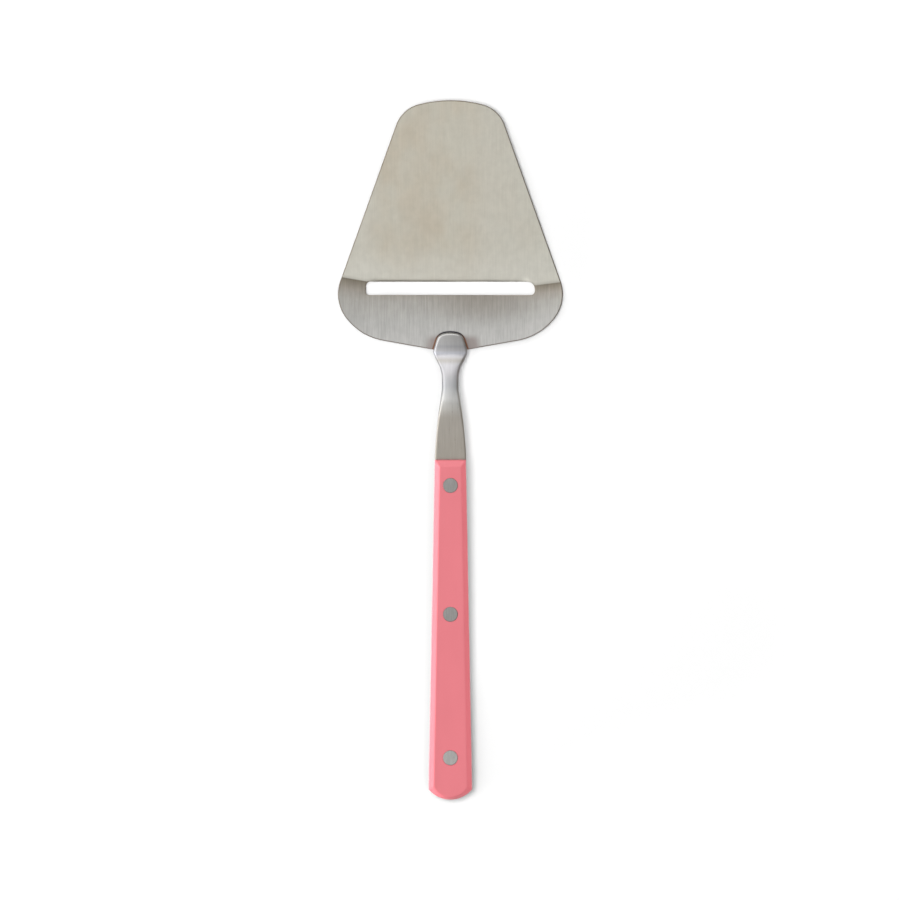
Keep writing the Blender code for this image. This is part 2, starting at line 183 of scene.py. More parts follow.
# Tones of the blade
FRONT_STEEL = (0.502, 0.482, 0.418)
STAINED_STEEL = (0.483, 0.439, 0.363)
PALE_STEEL = (0.526, 0.520, 0.470)
PALE_RIGHT = (0.002, 0.014)         # across the plate, where it turns pale towards its sides
PALE_LEFT = (-0.030, -0.022)
PALE_SHARE = 0.65
# painted sheen on the front plate towards the ground lip
PAINTED_LIP_SHEEN = (0.566, 0.556, 0.507)
LIP_GLEAM = (0.0023, 0.0143)        # ahead of the cutting edge
LIP_SHARE = 0.6
# painted shade along the crease, on the front plate's side
CREASE_PAINTED_SHADE = (0.200, 0.180, 0.145)
CREASE_SHADE_START = -0.0014                # ahead of the crease
CREASE_SHADE_SHARE = 0.25
CREASE_SHADE_SIDES = (-0.030, 0.030)        # the painted shade behind the crease is shorter on the right
CREASE_SHADE_HASTE = (1.02, 1.23)
REAR_PLATE_PAINTED_SHADE = {                      # painted shade of the rear plate, darkest at the crease, by the share of the way from the crease to the rear
    0.00: (0.115, 0.100, 0.076),
    0.02: (0.195, 0.175, 0.140),
    0.06: (0.225, 0.204, 0.170),
    0.15: (0.300, 0.278, 0.246),
    0.30: (0.348, 0.338, 0.317),
    0.60: (0.402, 0.399, 0.388),
    1.00: (0.482, 0.479, 0.471),
}
BRIGHT_RIGHT = (0.016, 0.036)       # across the rear plate, where it turns brighter
BRIGHT_GAIN = 1.10
DULL_STEEL = (0.245, 0.224, 0.198)
DULL_PLACE = (0.010, -0.0021)       # across, and from the rear of the slot
DULL_RADII = (0.026, 0.0110, 0.02)
DULL_SHARE = 0.65
FRONT_LINE_DEPTH = 0.04             # how far brush lines change the tone
REAR_LINE_DEPTH = 0.13
RIM_SHADE = (0.13, 0.105, 0.08)
RIM_FADE = (0.0001, 0.0005)
RIM_SHARE = 0.85
SLOT_SHADE = (0.16, 0.13, 0.10)
SLOT_FADE = (0.0001, 0.0006)
SLOT_SHARE = 0.32
HEAT_TINT = (0.274, 0.232, 0.222)
HEAT_SIDES = (-0.001, 0.001)        # the tint reaches further from the pad on the right
HEAT_REACH = (0.0045, 0.0062)
HEAT_FADE = 0.0036
HEAT_SHARE = 0.8
HEAT_END = (0.0041, 0.0069)         # ahead of the blade's rear
SEAM_SHADE = (0.03, 0.03, 0.035)    # round the nose of the pad
SEAM_SCORCH = (0.22, 0.11, 0.07)    # beside the pad
SEAM_FADE = (0.0003, 0.0008)

# Tones of the shank, with painted light and shade along its neck, by how far ahead of the scales they
# lie
SHANK_STEEL_AND_PAINTED_LIGHT = {
    0.0033: (0.365, 0.338, 0.302),
    0.0143: (0.370, 0.346, 0.314),
    0.0181: (0.401, 0.394, 0.377),
    0.0209: (0.427, 0.428, 0.424),
    0.0252: (0.360, 0.366, 0.379),
    0.0294: (0.378, 0.372, 0.388),
    0.0353: (0.371, 0.368, 0.390),
    0.0433: (0.360, 0.357, 0.348),
}
BEND_LIGHT_AND_SHADE_BANDS = (              # place, reach and tone of bands of painted light and shade across the lower bend
    (0.0339, 0.0018, (0.82, 0.80, 0.73)),
    (0.0365, 0.0010, (1.15, 1.18, 1.23)),
    (0.0387, 0.0010, (0.90, 0.91, 0.92)),
)

# Tones of the other pieces and the table
WELD_STEEL = (0.34, 0.31, 0.28)
WELD_TINT = (0.20, 0.14, 0.15)
RIVET_DARK = (0.260, 0.257, 0.252)
RIVET_PALE = (0.318, 0.314, 0.308)
RIVET_FLECK = (0.24, 0.23, 0.22)
BRIGHT_RIVET = (-0.0887, -0.0817)   # the rivet behind this place is brighter
BRIGHT_RIVET_GAIN = 1.35
PINK = (0.478, 0.106, 0.126)
PALE_PINK = (0.499, 0.112, 0.133)
PLASTIC_GLOSS = 0.60
TABLE_WHITE = (0.69, 0.69, 0.69)
TABLE_HAZE = (0.71, 0.71, 0.71)

# Picture
FRAME_WIDTH = 0.3088        # what the picture's width spans at the blade
AXIS_OFFSET = (-0.00014, -0.00009)      # from the slicer's axis and middle to the picture's centre
CAMERA_HEIGHT = 3.0
CAMERA_REACH = 20.0
SENSOR = 36.0
TABLE_SIZE = 6.0

# Light
ROOM_GLOW = {               # what the steel mirrors, from the butt's side of the room to the tip's
    -1.0: 0.50, -0.8: 1.05, -0.3: 1.0, 0.0: 0.92, 0.15: 1.0, 0.3: 1.2, 0.4: 0.85,
    0.53: 0.75, 0.56: 2.8, 0.61: 2.8, 0.64: 0.6, 0.8: 0.7, 1.0: 0.8,
}
ROOM_SIDES = (-0.6, 0.6)    # between these the room gets darker from left to right
ROOM_LEAN = 0.4
ROOM_TINT = (1.0, 0.995, 0.98)
RIGHT_TINT = (0.60, 0.52, 0.42)
RIGHT_EDGE = (0.50, 0.90)   # where the room turns dark towards the right
SOFTBOXES = {               # place, width and height, radiance
    "ceiling": ((0.0, 0.0, 1.5), (3.0, 3.0), 1.25),
    "key_light": ((-0.18, 0.0, 1.57), (0.36, 0.36), 42.0),
    "low_left_light": ((-1.3, 0.0, 0.09), (1.4, 0.16), 84.0),
    "low_right_light": ((1.3, 0.0, 0.09), (1.4, 0.16), 13.0),
    "left_softbox": ((-0.95, 0.15, 1.00), (1.3, 0.55), 2.2),
    "tip_softbox": ((0.0, 1.0, 0.80), (1.0, 0.45), 1.8),
}
MIRRORED = ("left_softbox", "tip_softbox")      # these are only mirrored, and the others only light


# Places that follow from the sizes and the frame

handle_axis = next(m["axis"] for m in frame["record"]["mounts"] if m["name"] == "handle_underside")
handle_slope = math.atan2(handle_axis[1], -handle_axis[2])
tang_corner = -(HANDLE_LENGTH - BUTT_CROWN)
waist_front = FLARE_LENGTH + WAIST_LENGTH
pad_start = waist_front + PAD_TAPER
pad_front = pad_start + PAD_LENGTH
between_heads = 2 * (HALF_HANDLE - RIVET_HEAD_THICKNESS)

lower_scale_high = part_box("lower_scale")[1]
upper_scale_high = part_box("upper_scale")[1]
scale_front_y = lower_scale_high.y - SCALE_WALL_TOP * math.sin(handle_slope)
scale_top_z = upper_scale_high.z + FRONT_BEVEL * math.sin(handle_slope)
handle_lift = scale_top_z - HALF_HANDLE * math.cos(handle_slope)
handle_start = Matrix.Translation((0.0, scale_front_y, handle_lift))
handle_frame = handle_start @ Matrix.Rotation(handle_slope, 4, "X")

blade_tip_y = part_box("blade")[1].y
blade_rear_y = blade_tip_y - BLADE_LENGTH
slot_rear_y = blade_rear_y + SLOT_SETBACK
cutting_edge_y = slot_rear_y + SLOT_LENGTH
crease_y = cutting_edge_y - CREASE_SETBACK
crease_to_rear = crease_y - blade_rear_y
heel_top = HEEL_RISE + BLADE_THICKNESS
pad_height = heel_top + SEAT + SHANK_THICKNESS / 2


# Modelling helpers


def deselect():
    bpy.ops.object.select_all(action="DESELECT")


def pick(piece):
    """Makes a piece the only selected one."""
    deselect()
    piece.select_set(True)
    bpy.context.view_layer.objects.active = piece


def name_piece(name):
    """Names the object that was just added."""
    piece = bpy.context.active_object
    piece.name = name
    piece.data.name = name
    return piece


def copy_piece(piece, name):
    """Copies a piece with a mesh of its own."""
    pick(piece)
    bpy.ops.object.duplicate(linked=False)
    return name_piece(name)


def shape(piece, move):
    """Moves every point of a piece to where move puts it."""
    for vertex in piece.data.vertices:
        vertex.co = move(vertex.co.copy())
    piece.data.update()


def apply_modifier(piece, kind, **settings):
    bpy.context.view_layer.objects.active = piece
    modifier = piece.modifiers.new(kind.lower(), kind)
    for setting, value in settings.items():
        setattr(modifier, setting, value)
    bpy.ops.object.modifier_apply(modifier=modifier.name)


def edit(piece, select_mode, start="DESELECT"):
    """Opens a piece in edit mode, with nothing selected or, with start SELECT, everything."""
    pick(piece)
    bpy.ops.object.mode_set(mode="EDIT")
    bpy.ops.mesh.select_mode(type=select_mode)
    bpy.ops.mesh.select_all(action=start)


def select_where(piece, kind, test):
    """Selects the faces or edges of the piece in edit mode that pass the test."""
    bm = bmesh.from_edit_mesh(piece.data)
    for item in getattr(bm, kind):
        item.select_set(test(item))
    bm.select_flush_mode()
    bmesh.update_edit_mesh(piece.data)


def select_underside(piece):
    select_where(piece, "faces", lambda face: face.normal.z < DOWNWARD)


def close_edit():
    bpy.ops.object.mode_set(mode="OBJECT")


def extrude(rise):
    bpy.ops.mesh.extrude_region_move(TRANSFORM_OT_translate={"value": (0.0, 0.0, rise)})


def extrude_sheet(piece, *rises):
    """Extrudes an open sheet straight up, in one step or several, into a closed solid."""
    edit(piece, "FACE", "SELECT")
    for rise in rises:
        extrude(rise)
    bpy.ops.mesh.select_all(action="SELECT")
    bpy.ops.mesh.normals_make_consistent(inside=False)
    close_edit()


def cut(piece, cutter, places=(0.0,)):
    """Cuts a shape out of a piece, once or at several places along Y, and removes the cutter."""
    for y in places:
        cutter.location.y = y
        apply_modifier(piece, "BOOLEAN", operation="DIFFERENCE", solver="EXACT", object=cutter)
    bpy.data.objects.remove(cutter)


def seat_in_handle(piece, side, y=0.0):
    """Moves a piece from the handle's own frame to its place, mirrored below the tang for side -1."""
    shape(piece, lambda co: handle_frame @ Vector((co.x, co.y + y, side * co.z)))
    if side < 0:
        edit(piece, "FACE", "SELECT")
        bpy.ops.mesh.flip_normals()
        close_edit()


def smooth(piece, angle=SOFT):
    """Shades a piece smooth apart from its sharp edges, with its flat faces kept flat."""
    pick(piece)
    bpy.ops.object.shade_smooth_by_angle(angle=angle)
    apply_modifier(piece, "WEIGHTED_NORMAL", keep_sharp=True, mode="FACE_AREA", weight=50)


def lay_grain(piece):
    """Gives a piece a flat map whose first direction runs across the brush lines."""
    mesh = piece.data
    while mesh.uv_layers:
        mesh.uv_layers.remove(mesh.uv_layers[0])
    grain = mesh.uv_layers.new(name="grain")
    for loop in mesh.loops:
        place = mesh.vertices[loop.vertex_index].co
        grain.data[loop.index].uv = (place.x, place.y + place.z)


def measure(piece, name, length_at, least_below=-1.0):
    """Keeps a length at every point, for the finish to read, and at least least_below underneath."""
    kept = piece.data.attributes.new(name, "FLOAT", "POINT")
    for vertex in piece.data.vertices:
        length = length_at(vertex.co.x, vertex.co.y)
        kept.data[vertex.index].value = length if vertex.normal.z > 0 else max(length, least_below)


def hand_over(piece, material, slot, *nodes):
    """Gives a finished piece its material and its place in the frame."""
    piece.data.materials.clear()
    piece.data.materials.append(material)
    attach(piece, "root")
    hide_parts(*nodes)


# Outlines


def smooth_step(share):
    share = min(max(share, 0.0), 1.0)
    return share * share * (3 - 2 * share)


def mix(a, b, share):
    return a + (b - a) * share


def rounded_path(corners):
    """Rounds the inner corners of a path of (x, y, radius); arcs share a side too short for both."""
    points = [Vector((x, y)) for x, y, _ in corners]
    inner = range(1, len(corners) - 1)
    half_angles = {}
    reaches = {0: 0.0, len(corners) - 1: 0.0}
    for i in inner:
        half_angles[i] = (points[i - 1] - points[i]).angle(points[i + 1] - points[i]) / 2
        reaches[i] = corners[i][2] / math.tan(half_angles[i])
    shares = []
    for i in range(len(corners) - 1):
        wanted = reaches[i] + reaches[i + 1]
        room = (points[i + 1] - points[i]).length
        shares.append(min(1.0, room / max(wanted, SAME_POINT)))
    path = []
    for i in inner:
        reach = reaches[i] * min(shares[i - 1], shares[i])
        radius = reach * math.tan(half_angles[i])
        back = (points[i - 1] - points[i]).normalized()
        onward = (points[i + 1] - points[i]).normalized()
        centre = points[i] + (back + onward).normalized() * radius / math.sin(half_angles[i])
        start = points[i] + back * reach - centre
        end = points[i] + onward * reach - centre
        swing = math.atan2(start.cross(end), start.dot(end))
        steps = 2 * max(1, math.ceil(abs(swing) / (2 * ARC_STEP)))
        for step in range(steps + 1):
            angle = swing * step / steps
            turned = Vector((start.x * math.cos(angle) - start.y * math.sin(angle),
                             start.x * math.sin(angle) + start.y * math.cos(angle)))
            if not path or (centre + turned - path[-1]).length > SAME_POINT:
                path.append(centre + turned)
    return path


def right_half(path):
    return [Vector((max(point.x, 0.0), point.y)) for point in path if point.x > -SAME_POINT]


def walk(path):
    """Function from a share of a path's length to the point there."""
    reached = [0.0]
    for near, far in zip(path, path[1:]):
        reached.append(reached[-1] + (far - near).length)

    def point_at(share):
        goal = share * reached[-1]
        i = min(max(bisect.bisect_right(reached, goal) - 1, 0), len(path) - 2)
        stretch = max(reached[i + 1] - reached[i], SAME_POINT)
        return path[i].lerp(path[i + 1], (goal - reached[i]) / stretch)

    return point_at


def patch(front, rear, side):
    """Lays half a grid over a patch whose front, rear and side edges are given as walks."""
    def place(across, along):
        point = front(across).lerp(rear(across), along)
        bow = side(along) - side(0.0).lerp(side(1.0), along)
        return point + bow * across

    return place


def whole_loop(half_outline):
    """Closed outline from its right half."""
    return [*half_outline, *[Vector((-point.x, point.y)) for point in reversed(half_outline)]]


def half_width_at(outline, y):
    for ahead, behind in zip(outline, outline[1:]):
        if ahead.y >= y > behind.y:
            return mix(ahead.x, behind.x, (ahead.y - y) / (ahead.y - behind.y))
    return 0.0


def edge_distance(loop):
    """Function from a place in plan to its distance from a closed outline."""
    along = walk([*loop, loop[0]])
    ring = [along(i / EDGE_SAMPLES).to_3d() for i in range(EDGE_SAMPLES)]
    tree = kdtree.KDTree(EDGE_SAMPLES)
    for i, point in enumerate(ring):
        tree.insert(point, i)
    tree.balance()

    def distance(x, y):
        place = Vector((x, y, 0.0))
        nearest = tree.find(place)[1]
        gaps = []
        for start in (nearest - 1, nearest):
            end = (start + 1) % EDGE_SAMPLES
            foot, share = geometry.intersect_point_line(place, ring[start], ring[end])
            if 0.0 <= share <= 1.0:
                gaps.append((place - foot).length)
        return min(gaps, default=(place - ring[nearest]).length)

    return distance


def rounded_drop(inward, width, depth):
    """How far a face lies below its full height, this far in from an edge with an oval rounding."""
    short = 1 - min(inward / width, 1.0)
    return depth * (1 - math.sqrt(1 - short ** 2))


def crowd(share, start_power, end_power):
    """Crowds even shares of 0..1 towards both ends."""
    if share < 0.5:
        return 0.5 * (2 * share) ** start_power
    return 1 - 0.5 * (2 - 2 * share) ** end_power


# Blade


def blade_outline():
    """Right half of the blade's outline, from the tip to the rear point."""
    crown_y = blade_tip_y + CROWN_RADIUS * (1 / math.cos(CROWN_ANGLE) - 1)
    tip = (TIP_WIDTH / 2, crown_y - TIP_WIDTH / 2 * math.tan(CROWN_ANGLE))
    shoulder = (SHOULDER_WIDTH / 2, blade_rear_y + SHOULDER_SETBACK)
    heel = (HEEL_WIDTH / 2, blade_rear_y + HEEL_SETBACK)
    return right_half(rounded_path([
        (-tip[0], tip[1], 0.0),
        (0.0, crown_y, CROWN_RADIUS),
        (*tip, TIP_CORNER),
        (*shoulder, SHOULDER_CORNER),
        (*heel, HEEL_CORNER),
        (0.0, blade_rear_y, REAR_CORNER),
        (-heel[0], heel[1], 0.0),
    ]))


def crease_at(x):
    """Where the crease crosses x: straight along the slot, swept forward over the straps."""
    over_strap = max(0.0, abs(x) - half_slot) / STRAP_WIDTH
    return crease_y + CREASE_SWEEP * over_strap - CREASE_SKEW * x / half_slot


def blade_height(x, y):
    """Height of the blade's lower face: sloping front plate, crease, then the dished rear plate."""
    crease = crease_at(x)
    front_plate = (max(y, crease, crease_y) - crease_y) * math.tan(FRONT_SLOPE)
    left_over = 1 - min(max(crease - y, 0.0) / crease_to_rear, 1.0)
    return front_plate + HEEL_RISE * (1 - left_over ** 2)


def grind_depth(x, y):
    """How much the ground lip has lost from its upper face."""
    ahead = (y - cutting_edge_y) / GRIND_WIDTH
    if ahead >= 1.0:
        return 0.0
    hollow = (1 - max(ahead, 0.0)) ** GRIND_POWER
    back_to_full = smooth_step((y - slot_rear_y) / SLOT_LENGTH)
    to_strap = smooth_step((half_slot - GRIND_END - abs(x)) / GRIND_FADE)
    return (BLADE_THICKNESS - EDGE_THICKNESS) * hollow * back_to_full * to_strap


def lay_blade_half(outline, side):
    """Patches for the front and rear plates of one side of the blade."""
    def ahead_of_crease(point):
        return point.y - crease_at(side * point.x)

    tip_corner = max(range(len(outline)), key=lambda i: outline[i].x + outline[i].y)
    heel_corner = max(range(len(outline)), key=lambda i: outline[i].x - outline[i].y)
    strap = next(i for i in range(tip_corner, len(outline)) if ahead_of_crease(outline[i]) <= 0)
    before, after = outline[strap - 1], outline[strap]
    reach = ahead_of_crease(before)
    strap_end = before.lerp(after, reach / (reach - ahead_of_crease(after)))

    def crease(across):
        x = across * strap_end.x
        return Vector((x, crease_at(side * x)))

    front_side = walk([*outline[tip_corner:strap], strap_end])
    rear_side = walk([strap_end, *outline[strap:heel_corner + 1]])
    front = patch(walk(outline[:tip_corner + 1]), crease, front_side)
    rear = patch(crease, walk(outline[heel_corner:][::-1]), rear_side)
    return front, rear


def slot_corner(x_side, y_side):
    return x_side * half_slot, cutting_edge_y if y_side > 0 else slot_rear_y


def slot_outline():
    start = (0.0, cutting_edge_y, 0.0)
    corners = [(*slot_corner(*sides), radius) for sides, radius in SLOT_CORNERS.items()]
    return rounded_path([start, *corners, start])


def slot_cutter():
    """Upright block with the slot's rounded corners."""
    deselect()
    bpy.ops.mesh.primitive_cube_add(size=UNIT)
    cutter = name_piece("slot_cutter")
    shape(cutter, lambda co: Vector((*slot_corner(co.x, co.y), co.z * SLOT_CUTTER_REACH)))
    for sides, radius in SLOT_CORNERS.items():
        corner = Vector(slot_corner(*sides))

        def at_corner(item):
            return all((v.co.xy - corner).length < SAME_POINT for v in item.verts)

        edit(cutter, "EDGE")
        select_where(cutter, "edges", at_corner)
        bpy.ops.mesh.bevel(offset=radius, segments=SLOT_CORNER_STEPS)
        close_edit()
    return cutter


def pad_distance():
    """Function from a place on the blade to its distance from the pad's edge, below 0 under the pad."""
    front, side, _ = shank_outline()
    pad = [*front, *side[1:]]
    to_edge = edge_distance(whole_loop(pad))
    tilt_shift = (heel_top - handle_lift) * math.sin(handle_slope)

    def distance(x, y):
        along = (y - scale_front_y) / math.cos(handle_slope) + tilt_shift
        inside = abs(x) < half_width_at(pad, along)
        return to_edge(x, along) * (-1 if inside else 1)

    return distance


def make_blade(material):
    rows = FRONT_ROWS + REAR_ROWS
    deselect()
    bpy.ops.mesh.primitive_grid_add(x_subdivisions=BLADE_COLUMNS, y_subdivisions=rows, size=UNIT)
    blade = name_piece("slicer_blade")
    halves = {side: lay_blade_half(blade_edge, side) for side in (-1, 1)}
    to_rim = edge_distance(whole_loop(blade_edge))
    to_slot = edge_distance(slot_outline())

    def lay_flat(co):
        side = 1 if co.x >= 0 else -1
        front, rear = halves[side]
        across = math.sin(abs(co.x) * math.pi / 2)
        row = (1 - co.y) / 2 * rows
        if row <= FRONT_ROWS:
            point = front(across, crowd(row / FRONT_ROWS, RIM_CROWDING, CREASE_CROWDING))
        else:
            point = rear(across, crowd((row - FRONT_ROWS) / REAR_ROWS, 1.0, RIM_CROWDING))
        return Vector((side * point.x, point.y, 0.0))

    def form(co):
        low = blade_height(co.x, co.y)
        drop = rounded_drop(to_rim(co.x, co.y), RIM_ROUNDING, RIM_ROUNDING)
        if co.z > BLADE_THICKNESS / 2:
            return Vector((co.x, co.y, low + BLADE_THICKNESS - max(drop, grind_depth(co.x, co.y))))
        return Vector((co.x, co.y, low + drop))

    def is_slot_edge(item):
        at_slot = all(to_slot(v.co.x, v.co.y) < 10 * SAME_POINT for v in item.verts)
        return at_slot and item.calc_face_angle(0.0) > SHARP

    shape(blade, lay_flat)
    extrude_sheet(blade, BLADE_THICKNESS)
    shape(blade, form)
    cut(blade, slot_cutter())
    edit(blade, "EDGE")
    select_where(blade, "edges", is_slot_edge)
    bpy.ops.mesh.bevel(offset=SLOT_EDGE, segments=SLOT_EDGE_STEPS, clamp_overlap=False, loop_slide=False)
    bpy.ops.mesh.select_all(action="SELECT")
    bpy.ops.mesh.remove_doubles(threshold=SAME_POINT)
    close_edit()
    smooth(blade)
    measure(blade, "behind_crease", lambda x, y: crease_at(x) - y)
    measure(blade, "from_rim", to_rim)
    measure(blade, "from_slot", to_slot)
    measure(blade, "from_pad", pad_distance(), least_below=SEAM_FADE[1])
    lay_grain(blade)
    hand_over(blade, material, "blade_steel", "blade")


# Shank


def handle_half_width(y):
    return mix(HANDLE_FRONT_WIDTH, HANDLE_BUTT_WIDTH, y / tang_corner) / 2


def butt_y(half_width, corner_y, x):
    """Where the rounded butt that ends at (half_width, corner_y) crosses x."""
    radius = (half_width ** 2 + BUTT_CROWN ** 2) / (2 * BUTT_CROWN)
    return corner_y - BUTT_CROWN + radius - math.sqrt(max(radius ** 2 - x ** 2, 0.0))


def shank_outline():
    """Right half of the shank's outline as its front, side and rear edges."""
    crown_y = pad_front + PAD_CROWN_RADIUS * (1 / math.cos(PAD_CROWN_ANGLE) - 1)
    nose = (PAD_NOSE_WIDTH / 2, crown_y - PAD_NOSE_WIDTH / 2 * math.tan(PAD_CROWN_ANGLE))
    path = right_half(rounded_path([
        (-nose[0], nose[1], 0.0),
        (0.0, crown_y, PAD_CROWN_RADIUS),
        (*nose, PAD_NOSE_CORNER),
        (PAD_WIDTH / 2, pad_start, PAD_CORNER),
        (WAIST_WIDTH / 2, waist_front, WAIST_CORNER),
        (WAIST_WIDTH / 2, FLARE_LENGTH, 0.0),
    ]))
    for step in range(FLARE_STEPS + 1):
        y = FLARE_LENGTH * (1 - step / FLARE_STEPS)
        narrowing = (HANDLE_FRONT_WIDTH - WAIST_WIDTH) * (y / FLARE_LENGTH) ** FLARE_POWER
        path.append(Vector(((HANDLE_FRONT_WIDTH - narrowing) / 2, y)))
    corner = Vector((handle_half_width(tang_corner), tang_corner))
    path.append(corner)
    nose_corner = max(range(len(path)), key=lambda i: path[i].x + path[i].y)
    butt_x = [corner.x * step / BUTT_CUTS for step in range(BUTT_CUTS + 1)]
    butt = [Vector((x, butt_y(corner.x, corner.y, x))) for x in butt_x]
    return path[:nose_corner + 1], path[nose_corner:], butt


def pad_plane(y):
    """Height of the pad's level middle in the sloping frame of the handle."""
    return (pad_height - handle_lift) / math.cos(handle_slope) - y * math.tan(handle_slope)


def shank_bends():
    """Middle of the neck's thickness as (y, z) points, from the bolster down to the level pad."""
    fall = pad_plane(pad_start) * (NECK_SAG - UPPER_BEND) / (pad_start - UPPER_BEND)
    return rounded_path([
        (0.0, 0.0, 0.0),
        (UPPER_BEND, 0.0, UPPER_BEND_RADIUS),
        (NECK_SAG, fall + NECK_BOW, NECK_BOW_RADIUS),
        (pad_start, pad_plane(pad_start), LOWER_BEND_RADIUS),
        (pad_front, pad_plane(pad_front), 0.0),
    ])


def shank_height(bends, y):
    for near, far in zip(bends, bends[1:]):
        if near.x <= y <= far.x:
            return mix(near.y, far.y, (y - near.x) / (far.x - near.x))
    return 0.0 if y < bends[0].x else pad_plane(y)


def shank_edges(y):
    """How worn the shank is: crisp from the bolster back, rounded at the waist, crowned on the pad."""
    if y > waist_front:
        near, far = WAIST_EDGES, PAD_EDGES
        share = (y - waist_front) / PAD_TAPER
    else:
        near, far = BOLSTER_EDGES, WAIST_EDGES
        share = (y - BOLSTER_LENGTH) / (FLARE_LENGTH - BOLSTER_LENGTH)
    return [mix(a, b, smooth_step(share)) for a, b in zip(near, far)]


def make_shank(material):
    front, side, rear = shank_outline()
    bends = shank_bends()
    long_edge = [*front, *side[1:]]
    to_edge = edge_distance(whole_loop([*long_edge, *rear[-2::-1]]))
    deselect()
    bpy.ops.mesh.primitive_grid_add(x_subdivisions=SHANK_COLUMNS, y_subdivisions=SHANK_ROWS, size=UNIT)
    shank = name_piece("slicer_shank")
    lay = patch(walk(front), walk(rear), walk(side))

    def lay_flat(co):
        across = math.sin(abs(co.x) * math.pi / 2)
        point = lay(across, (1 - co.y) / 2)
        return Vector((math.copysign(point.x, co.x), point.y, 0.0))

    def form(co):
        width, depth, crown = shank_edges(co.y)
        half = SHANK_THICKNESS / 2 - rounded_drop(to_edge(co.x, co.y), width, depth)
        lift = -half
        if co.z > SHANK_THICKNESS / 2:
            side_share = co.x / half_width_at(long_edge, min(co.y, pad_start)) if crown else 0.0
            lift = half - crown * side_share ** 2
        return handle_frame @ Vector((co.x, co.y, shank_height(bends, co.y) + lift))

    shape(shank, lay_flat)
    extrude_sheet(shank, SHANK_THICKNESS)
    cut(shank, rivet_hole_cutter(), RIVET_PLACES.values())
    shape(shank, form)
    smooth(shank, SHANK_SOFT)
    lay_grain(shank)
    hand_over(shank, material, "shank_steel", "shank")


# Scales


def make_scale(name):
    """Bevelled and drilled slab on top of the tang, in the handle's own frame."""
    deselect()
    bpy.ops.mesh.primitive_plane_add(size=UNIT)
    scale = name_piece(name)
    seat = SHANK_THICKNESS / 2 + SEAT
    corner_half = handle_half_width(tang_corner)
    top_front_half = handle_half_width(-FRONT_BEVEL) - SIDE_BEVEL
    top_corner_y = tang_corner + BUTT_BEVEL
    top_corner_half = handle_half_width(top_corner_y) - SIDE_BEVEL

    def lay_plane(co):
        y = 0.0 if co.y > 0 else tang_corner
        return Vector((co.x * handle_half_width(y), y, seat))

    def round_butt(co):
        if co.y > tang_corner + SAME_POINT:
            return co
        return Vector((co.x, butt_y(corner_half, tang_corner, co.x), co.z))

    def draw_in_top(co):
        if co.z < HALF_HANDLE - SAME_POINT:
            return co
        if co.y > -SAME_POINT:
            return Vector((math.copysign(top_front_half, co.x), -FRONT_BEVEL, co.z))
        x = co.x / corner_half * top_corner_half
        return Vector((x, butt_y(top_corner_half, top_corner_y, x), co.z))

    def is_butt_edge(item):
        return all(v.co.y < tang_corner + SAME_POINT for v in item.verts)

    def is_outer_edge(item):
        outer = all(v.co.z > SCALE_WALL_TOP - SAME_POINT for v in item.verts)
        return outer and item.calc_face_angle() > BUFFED

    shape(scale, lay_plane)
    edit(scale, "EDGE")
    select_where(scale, "edges", is_butt_edge)
    bpy.ops.mesh.subdivide(number_cuts=BUTT_CUTS)
    close_edit()
    shape(scale, round_butt)
    extrude_sheet(scale, SCALE_WALL_TOP - seat, HALF_HANDLE - SCALE_WALL_TOP)
    shape(scale, draw_in_top)
    edit(scale, "EDGE")
    select_where(scale, "edges", is_outer_edge)
    bpy.ops.mesh.bevel(offset=SCALE_SOFTNESS, segments=SOFTNESS_STEPS, clamp_overlap=False)
    close_edit()
    apply_modifier(scale, "BEVEL", limit_method="ANGLE", angle_limit=SHARP, width=SCALE_CRISPNESS,
                   segments=CRISPNESS_STEPS, use_clamp_overlap=False)
    cut(scale, rivet_hole_cutter(), RIVET_PLACES.values())
    return scale


def make_scales(material):
    """Upper scale, and the lower one as its mirrored copy."""
    upper = make_scale("upper_pink_scale")
    lower = copy_piece(upper, "lower_pink_scale")
    for scale, side, node in ((upper, 1, "upper_scale"), (lower, -1, "lower_scale")):
        seat_in_handle(scale, side)
        smooth(scale)
        scale.visible_diffuse = False       # so that no pink light reaches the white table
        hand_over(scale, material, "handle_plastic", node)


# Rivets


def rivet_hole_cutter():
    """Counterbored plug for a rivet's head and tube."""
    deselect()
    bpy.ops.mesh.primitive_cylinder_add(
        vertices=ROUND_STEPS, radius=RIVET_HEAD / 2 + RIVET_HAIRLINE, depth=UNIT)
    cutter = name_piece("rivet_hole_cutter")
    head_seat = HALF_HANDLE - RIVET_HEAD_THICKNESS - SEAT
    shape(cutter, lambda co: Vector((co.x, co.y, head_seat if co.z < 0 else 2 * HALF_HANDLE)))
    edit(cutter, "FACE")
    select_underside(cutter)
    bpy.ops.mesh.inset(thickness=(RIVET_HEAD - RIVET_TUBE) / 2)
    extrude(-HALF_HANDLE)
    close_edit()
    return cutter


